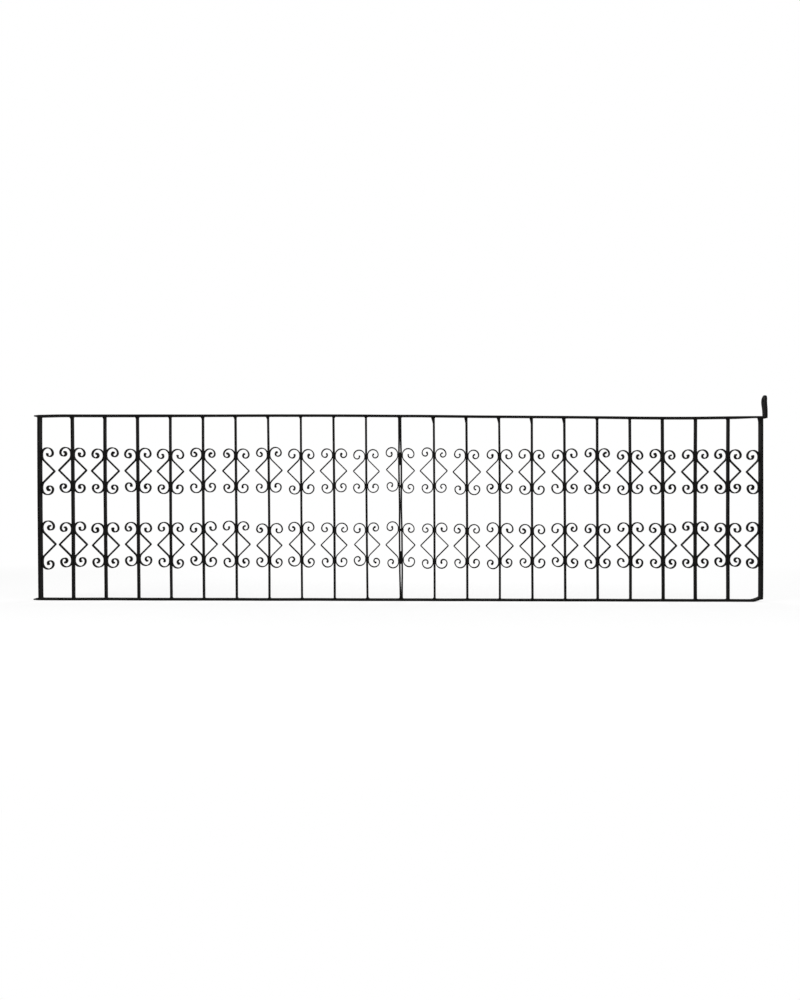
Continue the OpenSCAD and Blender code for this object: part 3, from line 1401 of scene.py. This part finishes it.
@dataclass
class Studio:
    """The white studio: floor, world, lamps and camera."""

    floor_r: float = 30.0
    floor_sides: int = 64
    floor_pale: Colour = (0.92, 0.92, 0.92, 1.0)
    shade_kept: float = 0.22
    shade_from: float = 1.9
    shade_to: float = 3.2
    shade_stretch: tuple[float, float, float] = (0.6, 1.0, 1.0)
    air: float = 0.40
    backdrop_from_to: tuple[float, float] = (0.1, 0.5)
    lamps: tuple[SoftLamp, ...] = (
        SoftLamp("key_lamp", (-3.2, -3.6, 3.6), 2.6, 170.0),
        SoftLamp("fill_lamp", (3.6, -3.2, 2.6), 2.6, 100.0),
        SoftLamp("back_lamp", (0.6, 3.4, 3.4), 2.6, 120.0),
    )
    frame_width: int = 800
    focal_pixels: float = 932.5
    sensor: float = 36.0
    eye: tuple[float, float, float] = (-0.0025, -4.685, 0.506)
    roll: float = -0.0022  # radians

    @staticmethod
    def seen(sheet: NodeSheet) -> Wire:
        """Makes the mask of the rays that show the background: seen, mirrored and passed through."""
        path = sheet.add("ShaderNodeLightPath")
        return path["Is Camera Ray"] | path["Is Glossy Ray"] | path["Is Transmission Ray"]

    def build_floor(self) -> None:
        """Lays a pale floor that turns into the white background away from the object's shadow."""
        made = bpy.data.materials.new("pale_floor")
        made.use_nodes = True
        sheet = NodeSheet(made.node_tree)
        place = sheet.add("ShaderNodeTexCoord", output="Object")
        stretched = sheet.add("ShaderNodeVectorMath", {"operation": "MULTIPLY"},
                              {0: place, 1: self.shade_stretch})
        away = sheet.add("ShaderNodeVectorMath", {"operation": "LENGTH"}, {0: stretched}, "Value")
        white = 1 - self.shade_kept * (1 - sheet.step(away, self.shade_from, self.shade_to))
        diffuse = sheet.add("ShaderNodeBsdfDiffuse", {}, {"Color": self.floor_pale})
        glow = sheet.add("ShaderNodeEmission", {}, {"Color": WHITE, "Strength": 1.0})
        shader = sheet.add("ShaderNodeMixShader", {}, {0: self.seen(sheet) * white, 1: diffuse, 2: glow})
        sheet.add("ShaderNodeOutputMaterial", {}, {"Surface": shader})
        mesh = bpy.data.meshes.new("floor")
        corners = [(self.floor_r * math.cos(a), self.floor_r * math.sin(a), 0)
                   for a in np.linspace(0, math.tau, self.floor_sides, endpoint=False)]
        mesh.from_pydata(corners, [], [list(range(len(corners)))])
        mesh.materials.append(made)
        floor = bpy.data.objects.new("floor", mesh)
        bpy.context.scene.collection.objects.link(floor)
        floor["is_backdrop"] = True

    def build_world(self) -> None:
        """Surrounds the scene with white for the eye, a white backdrop in reflections and soft grey light."""
        world = bpy.data.worlds.new("studio_air")
        world.use_nodes = True
        bpy.context.scene.world = world
        sheet = NodeSheet(world.node_tree)
        ray = sheet.add("ShaderNodeTexCoord", output="Generated")
        backdrop = sheet.step(sheet.add("ShaderNodeSeparateXYZ", {}, {0: ray}, "Y"), *self.backdrop_from_to)
        path = sheet.add("ShaderNodeLightPath")
        mirrored = path["Is Glossy Ray"] | path["Is Transmission Ray"]
        grey = sheet.add("ShaderNodeBackground", {}, {"Color": WHITE, "Strength": self.air})
        white = sheet.add("ShaderNodeBackground", {}, {"Color": WHITE, "Strength": 1.0})
        mask = path["Is Camera Ray"] | mirrored * backdrop
        shader = sheet.add("ShaderNodeMixShader", {}, {0: mask, 1: grey, 2: white})
        sheet.add("ShaderNodeOutputWorld", {}, {"Surface": shader})

    def build_camera(self) -> None:
        """Sets up the camera at the photograph's place."""
        data = bpy.data.cameras.new("camera")
        data.sensor_fit = "HORIZONTAL"
        data.sensor_width = self.sensor
        data.lens = self.focal_pixels / self.frame_width * self.sensor
        camera = bpy.data.objects.new("camera", data)
        camera.location = self.eye
        camera.rotation_euler = (math.radians(QUARTER), self.roll, 0)
        bpy.context.scene.collection.objects.link(camera)
        bpy.context.scene.camera = camera

    def build(self, target: Vector) -> None:
        """Builds the whole studio.

        Args:
            target: Point that the lamps are aimed at.
        """
        bpy.context.scene.view_settings.view_transform = "Standard"
        self.build_floor()
        self.build_world()
        self.build_camera()
        for lamp in self.lamps:
            lamp.build(target)


def main() -> None:
    """Builds the balustrade piece by piece, and the studio round it."""
    logging.basicConfig(level=logging.INFO, format="%(name)s: %(message)s")
    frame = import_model()
    cad_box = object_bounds()

    frame_paint = ForgedPaint("paint_on_frame", FRAME_COAT).material()
    bar_paint = ForgedPaint("paint_on_bars", BAR_COAT).material()
    scroll_paint = ForgedPaint("paint_on_scrolls", SCROLL_COAT, dent_size=SCROLL_DENTS).material()

    panels: dict[Side, Panel] = {}
    for side in Side:
        infill = sum(name.startswith(f"bar_{side.word}_") for name in frame["nodes"])
        panels[side] = Panel(side, infill)
    tiers = [ScrollTier(tier, panel) for tier in Tier for panel in panels.values()]

    for panel in panels.values():
        for rail in Rail:
            panel.build_rail(rail, frame_paint)
            Welds(panel, rail).build(frame_paint)
        for upright in panel.uprights:
            contacts = [z for tier in tiers if tier.panel is panel for z in tier.contacts(upright)]
            upright.build(frame_paint if upright.last else bar_paint, contacts)
    for tier in tiers:
        tier.build_strips(scroll_paint)
        tier.build_rivets(scroll_paint)

    joint = PanelJoint(panels[Side.LEFT].uprights[0], panels[Side.RIGHT].uprights[0])
    for tier in Tier:
        joint.build_packing(tier, bar_paint)
        joint.build_spacer(tier, bar_paint)

    lug = WallLug()
    lug.build(frame_paint)
    lug.build_weld(Welds(panels[Side.RIGHT], Rail.TOP), frame_paint)

    Studio().build((cad_box[0] + cad_box[1]) / 2)


if __name__ == "__main__":
    main()
